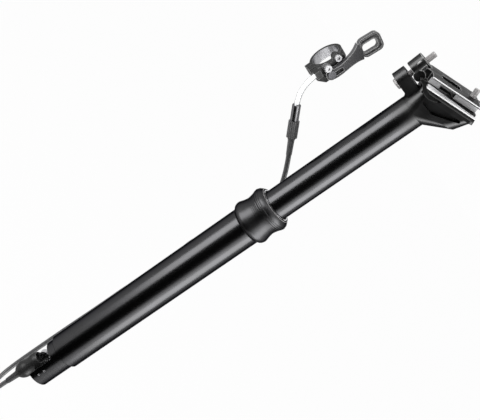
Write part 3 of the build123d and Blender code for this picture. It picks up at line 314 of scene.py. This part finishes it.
adjuster_start, adjuster_end = at(-51.7, 16.0, 85.1), at(-23.2, 19.0, 55.9)
adjuster_way = unit(adjuster_end - adjuster_start)

# the hank, in millimetres: its runs lie beside each other in y and fold round at a fixed radius
wire_x = -7.0
hank_y, hank_top, hank_run = 21.6, -57.0, 75.0
fold, pitch, loops = 12.0, 4.6, 4
waist, straight = 6.0, 4.0
far_x = wire_x + 2 * fold
waist_z = hank_top - hank_run / 2
hank_low = hank_top - hank_run


def hank_corners(x, inward, y0, y1, z0, z1):
    """The four corners of one run: two bends in to the waist and two out again.

    A bend's corner lies r * tan(turn / 2) from its ends, r and the turn from its rise and its sideways step.
    """
    way = 1.0 if z1 > z0 else -1.0
    rise = (hank_run - 2 * straight) / 4
    step = np.hypot(inward, (y1 - y0) / 2) / 2
    radius = (rise**2 + step**2) / (2 * step)
    reach = radius * np.tan(np.arcsin(rise / radius) / 2)
    middle_y = (y0 + y1) / 2
    return [at(x, y0, z0 + way * (straight + reach)), at(x + inward, middle_y, waist_z - way * reach),
            at(x + inward, middle_y, waist_z + way * reach), at(x, y1, z1 - way * (straight + reach))]


def fold_corners(y, z, way, start):
    """The four corners of a half turn, on a circle wider by 1 / cos(22.5 degrees)."""
    angles = np.radians(22.5 + 45 * np.arange(4))
    reach = fold / np.cos(np.radians(22.5))
    x = wire_x + fold + start * reach * np.cos(angles)
    return [at(px, y, z + way * reach * np.sin(a)) for px, a in zip(x, angles)]


route = [adjuster_end, adjuster_end + adjuster_way * 25 * MM, at(3.8, 22.8, 13.0), at(3.4, 24.0, -12.0),
         at(wire_x, hank_y, -42.0)]
for loop in range(loops):
    y = hank_y + loop * pitch
    route += hank_corners(wire_x, waist, y, y, hank_top, hank_low)
    route += fold_corners(y, hank_low, -1, -1)
    route += hank_corners(far_x, -waist, y, y + pitch, hank_low, hank_top)
    route += fold_corners(y + pitch, hank_top, 1, 1)
hank_end_y = hank_y + loops * pitch
route += hank_corners(wire_x, waist, hank_end_y, hank_end_y, hank_top, hank_low)
route += [at(wire_x, hank_end_y, -160.0), at(wire_x, 44.0, -195.0), at(wire_x, 46.0, -234.0),
          at(wire_x, 46.0, -271.2), at(wire_x, 32.6, -284.6), at(wire_x, 13.4, -284.6),
          at(wire_x, 0, -271.2), at(wire_x, 0, -252.0)]


def cable_curve(name, points, radius, finish):
    """A round cable along one smooth spline with these control points."""
    curve = bpy.data.curves.new(name, "CURVE")
    curve.dimensions = "3D"
    spline = curve.splines.new("NURBS")
    spline.points.add(len(points) - 1)
    spline.points.foreach_set("co", np.column_stack([points, np.ones(len(points))]).ravel())
    spline.order_u = 3
    spline.use_endpoint_u = True
    curve.resolution_u = 10
    curve.bevel_depth = radius
    curve.bevel_resolution = 8
    curve.use_fill_caps = True
    curve.materials.append(finish)
    piece = bpy.data.objects.new(name, curve)
    bpy.context.collection.objects.link(piece)
    return piece


# the remote's own directions: along its lever, out of its face and along the handlebar
lever_run = unit([0.0508, 0.2879, 0.9563])
lever_face = unit([0.3487, -0.9028, 0.2529])
bar_way = np.cross(lever_face, lever_run)
remote_middle = at(-64.6, 44.0, 120.3)

liner_exit = remote_middle + (-15.2 * lever_run + 2.6 * bar_way + 21.2 * lever_face) * MM
liner_turn = liner_exit - lever_run * 6.5 * MM
liner_seat = adjuster_way * 4.5 * MM
liner_route = [liner_exit, liner_turn, liner_turn + unit(-2.5 * lever_run + adjuster_way) * 9 * MM,
               adjuster_start - liner_seat, adjuster_start + liner_seat]
liner = cable_curve("liner", liner_route, 0.0021, liner_clear)
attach(liner, "lower_assembly")
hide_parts("liner_tube")

housing = cable_curve("cable_housing", route, 0.002, housing_black)
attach(housing, "lower_assembly")
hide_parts("housing_upper_run", "housing_hank", "housing_lower_loop")


# worked surfaces: grids of points made closed meshes
def skin(name, grid, finish, body, sharp):
    """A closed mesh over a grid of points, with edges over sharp degrees left hard.

    Columns join up round it, and first and last rows close as poles.
    """
    rows, columns = grid.shape[:2]
    number = np.arange(rows * columns).reshape(rows, columns)
    after = np.roll(number, -1, axis=1)
    faces = np.stack([number[:-1], after[:-1], after[1:], number[1:]], axis=-1).reshape(-1, 4)
    mesh = bpy.data.meshes.new(name)
    mesh.from_pydata(grid.reshape(-1, 3).tolist(), [], faces.tolist())
    work = bmesh.new()
    work.from_mesh(mesh)
    bmesh.ops.remove_doubles(work, verts=work.verts, dist=1e-7)
    bmesh.ops.dissolve_degenerate(work, edges=work.edges, dist=1e-7)
    bmesh.ops.recalc_face_normals(work, faces=work.faces)
    work.to_mesh(mesh)
    work.free()
    mesh.shade_smooth()
    mesh.set_sharp_from_angle(angle=np.radians(sharp))
    mesh.materials.append(finish)
    piece = bpy.data.objects.new(name, mesh)
    bpy.context.collection.objects.link(piece)
    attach(piece, body)
    return piece


def full_turn(steps):
    """Even steps once round an axis, as one row."""
    return np.linspace(0, 2 * np.pi, steps, endpoint=False)[None, :]


def placed(radius, height, turn, origin, way, first):
    """Points at these radii, heights and turns about an axis: o + r cos t * x + r sin t * y + h * z.

    The axis z runs along way through the origin o, and x is the first direction squared to it.
    """
    radius, height, turn = (values[..., None] for values in np.broadcast_arrays(radius, height, turn))
    z = unit(way)
    x = unit(np.asarray(first) - np.dot(first, z) * z)
    y = np.cross(z, x)
    return np.asarray(origin) + radius * (np.cos(turn) * x + np.sin(turn) * y) + height * z


def smooth_through(points, steps):
    """A Catmull-Rom curve: cubics whose slope at each point is half the step between its neighbours."""
    p = np.asarray(points, float)
    p = np.vstack([2 * p[0] - p[1], p, 2 * p[-1] - p[-2]])
    t = np.linspace(0, 1, steps, endpoint=False)[None, :, None]
    a, b, c, d = (p[i:len(p) - 3 + i, None, :] for i in range(4))
    curve = 0.5 * (2 * b + (c - a) * t + (2 * a - 5 * b + 4 * c - d) * t**2 + (3 * b - a - 3 * c + d) * t**3)
    return np.vstack([curve.reshape(-1, p.shape[1]), p[-2]])


def refinish(mesh, worked):
    """Further finishes on a mesh: pairs of a finish and a function that picks its faces.

    The function gets the faces' middles, in millimetres, and their normals.
    """
    middles, normals = np.empty(len(mesh.polygons) * 3), np.empty(len(mesh.polygons) * 3)
    mesh.polygons.foreach_get("center", middles)
    mesh.polygons.foreach_get("normal", normals)
    index = np.zeros(len(mesh.polygons), np.int32)
    for number, (finish, where) in enumerate(worked, 1):
        mesh.materials.append(finish)
        index[where(middles.reshape(-1, 3) / MM, normals.reshape(-1, 3))] = number
    mesh.polygons.foreach_set("material_index", index)


def clamp_bolt(name, seat, way, length, replaced):
    """A cap screw of 5 mm: hex socket, knurled head and a cut thread.

    Each ring's radius is its profile's radius; in the socket it is divided by the cosine of the angle to the
    nearest flat, on the head a small cosine wave is added, and on the thread a triangle wave that climbs one
    pitch a turn is taken off.
    """
    thread_radius, thread_pitch, thread_depth = 2.5, 0.8, 0.42
    head_bottom, head_top, head_radius = -4.5, -1.0, 4.2
    knurl_z = np.linspace(head_bottom + 0.8, head_top - 0.5, 6)
    thread_z = np.arange(head_top, length - 0.45, thread_pitch / 8)
    socket = np.array([(0, 2.3), (1.95, 2.3), (1.95, 0.2)]) + (0, head_bottom)
    rim = np.array([(2.35, 0), (3.7, 0), (4.1, 0.3), (head_radius, 0.7)]) + (0, head_bottom)
    knurl = np.column_stack([np.full(len(knurl_z), head_radius), knurl_z])
    shoulder = np.array([(head_radius, -0.4), (4.05, 0), (2.45, 0)]) + (0, head_top)
    thread = np.column_stack([np.full(len(thread_z), thread_radius), thread_z])
    stretches = [socket, rim, knurl, shoulder, thread, [(1.98, length), (0, length)]]
    stretch = np.repeat(np.arange(len(stretches)), [len(rows) for rows in stretches])[:, None]
    in_socket, in_knurl, in_thread = stretch == 0, stretch == 2, stretch == 4
    r, z = np.vstack(stretches).T[..., None]
    turn = full_turn(72)
    flat = np.cos((turn + np.pi / 6) % (np.pi / 3) - np.pi / 6)
    knurled = in_knurl * (0.07 * np.cos(36 * turn) - 0.05)
    cut = in_thread * np.minimum(1, (z - head_top) / 2.0)
    climbing = np.abs(2 * ((z / thread_pitch - turn / (2 * np.pi)) % 1.0) - 1)
    radius = r / np.where(in_socket, flat, 1.0) + knurled - thread_depth * cut * climbing
    grid = placed(radius * MM, z * MM, turn, seat, way, (0, 1, 0))
    piece = skin(name, grid, bolt_grey, "upper_post", 40.0)
    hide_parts(replaced)


def leaning(degrees):
    """A direction that leans to the front of the post's axis by so many degrees."""
    lean = np.radians(degrees)
    return np.array([-np.sin(lean), 0, np.cos(lean)])


front_way, rear_way = leaning(3.0), leaning(20.5)
clamp_bolt("front_bolt", at(-22.994, 0, 159.7), front_way, 31.27, "clamp_bolt_front")
clamp_bolt("rear_bolt", at(18.8273, 0, 188.783) - rear_way * 14.3 * MM, rear_way, 26.9, "clamp_bolt_rear")


def faded(z, low, high, over):
    """1 between two heights, falling to 0 over a short way inside each of them."""
    return np.clip((z - low) / over, 0, 1) * np.clip((high - z) / over, 0, 1)


def painted_rim_highlight(middles, normals):
    """The collar's top edge, given a paler finish as a painted highlight line."""
    return (middles[:, 2] > 27.7) & (np.hypot(middles[:, 0], middles[:, 1]) > 15.1)


def turned_collar():
    """The seal collar as it leaves the lathe: a smooth outer line with fine grooves round its waist.

    The waist's lines are a cosine wave along the axis, and the grooves below the rim the cube of a raised
    cosine, both faded in and out at their ends.
    """
    seat_radius, slide_radius, ring_radius, height = 14.66, 13.0, 14.2, 28.0
    line_pitch, line_depth = 1.5, 0.025
    groove_pitch, groove_depth = 1.9, 0.3
    outer = smooth_through([(16.05, 0.5), (17.8, 2.4), (18.4, 5.4), (17.3, 9.6), (16.7, 13.6), (17.3, 17.8),
                            (18.6, 22.4), (18.0, 24.8)], 40)
    z = outer[:, 1]
    lines = line_depth * (1 - np.cos(2 * np.pi * z / line_pitch))
    grooves = groove_depth * (0.5 - 0.5 * np.cos(2 * np.pi * (z - 19.0) / groove_pitch))**3
    outer[:, 0] -= faded(z, 8.0, 20.5, 1.5) * lines + faded(z, 18.6, 25.0, 0.4) * grooves
    foot = [(seat_radius, 0), (15.7, 0), (15.95, 0.2)]
    top = [(17.85, 25.2), (16.2, 27.1), (15.5, 27.8), (15.2, height)]
    bore = [(14.25, height), (ring_radius, 27.9), (ring_radius, 23.0), (slide_radius, 23.0),
            (slide_radius, 11.0), (seat_radius, 11.0), (seat_radius, 0)]
    profile = np.vstack([foot, outer, top, bore])[..., None] * MM
    grid = placed(profile[:, 0], profile[:, 1], full_turn(160), (0, 0, 0), (0, 0, 1), (1, 0, 0))
    piece = skin("turned_collar", grid, collar_black, "lower_assembly", 30.0)
    # a painted highlight: the rim's faces take the paler bolt finish
    refinish(piece.data, [(bolt_grey, painted_rim_highlight)])
    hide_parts("seal_collar")


def stranded_wire():
    """The bare wire at the foot: its radius swells and dips six times round, and the swells wind up it."""
    wire_radius, lay, top, bottom = 0.6, 6.0, -209.1, -244.9
    turn = full_turn(36)
    z = np.concatenate([[top], np.linspace(top, bottom, 150), [bottom]])[:, None]
    radius = wire_radius * (0.9 + 0.1 * np.abs(np.cos(3 * (turn - 2 * np.pi * z / lay))))
    radius[[0, -1]] = 0
    grid = placed(radius * MM, z * MM, turn, at(wire_x, 0, 0), (0, 0, 1), (1, 0, 0))
    piece = skin("stranded_wire", grid, pin_steel, "wire", 60.0)
    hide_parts("inner_wire")


turned_collar()
stranded_wire()


def refinished(node_name, finish, body, worked, shape=None):
    """A merged copy of a solid piece with more than one finish.

    A shape function, where one is given, moves the copy's points first, in millimetres.
    """
    mesh = nodes[node_name].data.copy()
    mesh.name = node_name + "_refinished"
    work = bmesh.new()
    work.from_mesh(mesh)
    bmesh.ops.remove_doubles(work, verts=work.verts, dist=2e-6)
    if shape:
        points = np.array([v.co[:] for v in work.verts]) / MM
        for v, moved in zip(work.verts, shape(points) * MM):
            v.co = moved
    work.to_mesh(mesh)
    work.free()
    if mesh.has_custom_normals:
        mesh.attributes.remove(mesh.attributes["custom_normal"])
    mesh.shade_smooth()
    mesh.set_sharp_from_angle(angle=np.radians(24))
    mesh.materials.clear()
    mesh.materials.append(finish)
    refinish(mesh, worked)
    piece = bpy.data.objects.new(node_name + "_refinished", mesh)
    bpy.context.collection.objects.link(piece)
    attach(piece, body)
    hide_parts(node_name)


# the saddle clamp, in millimetres: its middle, the way up from it and where the rails' middle lines are
clamp_middle = np.array([-6.0, 0, 179.5])
rail_up = leaning(20.0)
rail_out, rail_rise, bed_reach = 22.0, 0.2, 4.6


def from_clamp(places):
    """How far places lie out from the clamp's middle plane, and how far up from its middle."""
    local = places - clamp_middle
    return np.abs(local[:, 1]), local @ rail_up


def outward(middles, normals):
    """How far the faces turn away from the clamp's middle plane."""
    return normals[:, 1] * np.sign(middles[:, 1])


def in_rail_bed(middles, normals):
    """The ground grooves for the saddle's rails: every face within 4.6 mm of a rail's middle line."""
    out, rise = from_clamp(middles)
    return np.hypot(out - rail_out, rise - rail_rise) < bed_reach


def on_web(middles, normals):
    """The milled side walls of the clamp's web between its plate and its foot."""
    out, rise = from_clamp(middles)
    return (outward(middles, normals) > 0.4) & (out > 14.0) & (out < 18.6) & (rise < 5.0)


def lip_and_highlight(middles, normals):
    """The chamfer along the outer edges of the clamp's jaws, in the near-white finish: part machined metal,
    part painted highlight.
    """
    out, rise = from_clamp(middles)
    return (out > 24.0) & (outward(middles, normals) > 0.2) & (normals @ rail_up > 0.2) & (rise > 4.0)


def inside_band(middles, normals):
    """The bored inside of the handlebar clamp."""
    local = middles - remote_middle / MM
    across_bar = local - (local @ bar_way)[:, None] * bar_way
    return (np.linalg.norm(across_bar, axis=1) < 11.6) & (np.abs(normals @ bar_way) < 0.3)


def thinned_jaws(points):
    """The jaws over the rails with their undersides 1.3 mm higher, so that they end in a thin lip."""
    out, rise = from_clamp(points)
    underside = (out > 17.6) & (rise > 1.0) & (rise < 4.4)
    return points + 1.3 * underside[:, None] * rail_up


refinished("lower_cradle", cradle_black, "saddle_cradle", [(silver_and_highlight, in_rail_bed)])
# the jaws' chamfer: part machined metal, part painted highlight
refinished("upper_clamp", clamp_satin, "saddle_cradle",
           [(web_grey, on_web), (silver_and_highlight, lip_and_highlight)], thinned_jaws)
refinished("bar_clamp_band", part_black, "lower_assembly", [(bored_grey, inside_band)])


# stage: a pale floor, a white world, two dark cards that only reflections show, and five area lamps
def plate(name, corners, finish):
    """A flat four-cornered stage piece."""
    mesh = bpy.data.meshes.new(name)
    mesh.from_pydata([tuple(c) for c in corners], [], [(0, 1, 2, 3)])
    mesh.materials.append(finish)
    piece = bpy.data.objects.new(name, mesh)
    bpy.context.collection.objects.link(piece)


def seen_rays(tree):
    """1 for rays from the camera, from a reflection or through glass, and 0 for the rest."""
    rays = add(tree, "LightPath").outputs
    seen = rays["Is Camera Ray"]
    for other in ("Is Glossy Ray", "Is Transmission Ray"):
        seen = add(tree, "Math", {0: seen, 1: rays[other]}, operation="MAXIMUM").outputs[0]
    return seen


def show(tree, factor, first, second):
    """The surface of a finish: a share of the second shader over the first."""
    blend = add(tree, "MixShader", {0: factor, 1: first.outputs[0], 2: second.outputs[0]})
    tree.links.new(blend.outputs[0], tree.nodes["Material Output"].inputs["Surface"])


def floor_white():
    """Matt paint, with 97 parts in 100 of an even glow over it for the rays that see the floor."""
    finish, tree, paint = new_finish("floor_white", (0.9, 0.9, 0.9), 0.0, 0.9)
    glow = add(tree, "Emission", {"Color": (1, 1, 1, 1), "Strength": 1.0})
    share = add(tree, "Math", {0: seen_rays(tree), 1: 0.97}, operation="MULTIPLY")
    show(tree, share.outputs[0], paint, glow)
    return finish


def card_black():
    """Pure black for reflections, and clear for every other ray."""
    finish, tree, black = new_finish("card_black", (0, 0, 0), 0.0, 1.0, Specular_IOR_Level=0.0)
    clear = add(tree, "BsdfTransparent")
    show(tree, add(tree, "LightPath").outputs["Is Glossy Ray"], clear, black)
    return finish


def white_world():
    """A world that looks white and lights the part with about a third of that."""
    world = bpy.data.worlds.new("studio")
    bpy.context.scene.world = world
    world.use_nodes = True
    air = world.node_tree
    strength = add(air, "MapRange", {"Value": seen_rays(air), "To Min": 0.35, "To Max": 0.985})
    air.links.new(strength.outputs["Result"], air.nodes["Background"].inputs["Strength"])
    air.nodes["Background"].inputs["Color"].default_value = (1, 1, 1, 1)


def facing(bearing, distance, z):
    """A place so many degrees to the side of the camera's own bearing, at a height above the origin."""
    a = np.radians(bearing)
    return distance * (np.sin(a) * across - np.cos(a) * ahead) + (0, 0, z)


def softbox(name, place, target, width, height, radiance):
    """An area lamp at a place, turned to a target, of an even radiance over its face."""
    lamp = bpy.data.lights.new(name, "AREA")
    lamp.shape = "RECTANGLE"
    lamp.size, lamp.size_y = width, height
    lamp.energy = radiance * np.pi * width * height
    box = bpy.data.objects.new(name, lamp)
    bpy.context.collection.objects.link(box)
    back = unit(np.asarray(place) - target)
    side = unit(np.cross((0, 0, 1), back))
    box.matrix_world = placing(side, np.cross(back, side), back, place)


floor_z, floor_half = -0.62, 6.0
plate("floor", [(-floor_half, -floor_half, floor_z), (floor_half, -floor_half, floor_z),
                (floor_half, floor_half, floor_z), (-floor_half, floor_half, floor_z)], floor_white())

card = card_black()
card_foot, card_top, low_card_z = floor_z + 0.01, 1.0, floor_z + 0.008
left_edge, right_edge = facing(-33, 0.56, 0), facing(35, 0.56, 0)
near_left, near_right = facing(-50, 0.1, 0), facing(60, 0.1, 0)
plate("front_card", [left_edge + (0, 0, card_foot), right_edge + (0, 0, card_foot),
                     right_edge + (0, 0, card_top), left_edge + (0, 0, card_top)], card)
plate("low_card", [near_left + (0, 0, low_card_z), near_right + (0, 0, low_card_z),
                   right_edge + (0, 0, low_card_z), left_edge + (0, 0, low_card_z)], card)

white_world()

# each lamp: its bearing, distance and height, the height it looks at, its width and height, and its radiance
lamps = {
    "left_box": (-52, 0.58, 0.14, 0.14, 0.37, 0.96, 5.0),
    "right_box": (77, 0.58, 0.06, 0.06, 0.37, 1.08, 6.0),
    "right_fade": (52, 0.58, 0.06, 0.06, 0.13, 1.08, 2.0),
    "right_end": (41, 0.58, 0.06, 0.06, 0.1, 1.08, 0.6),
    "top_box": (-10, 0.6, 1.0, 0.1, 0.7, 0.5, 2.5),
}
for name, (bearing, distance, z, aimed_at, width, height, radiance) in lamps.items():
    softbox(name, facing(bearing, distance, z), (0, 0, aimed_at), width, height, radiance)

bpy.context.scene.view_settings.view_transform = "Standard"
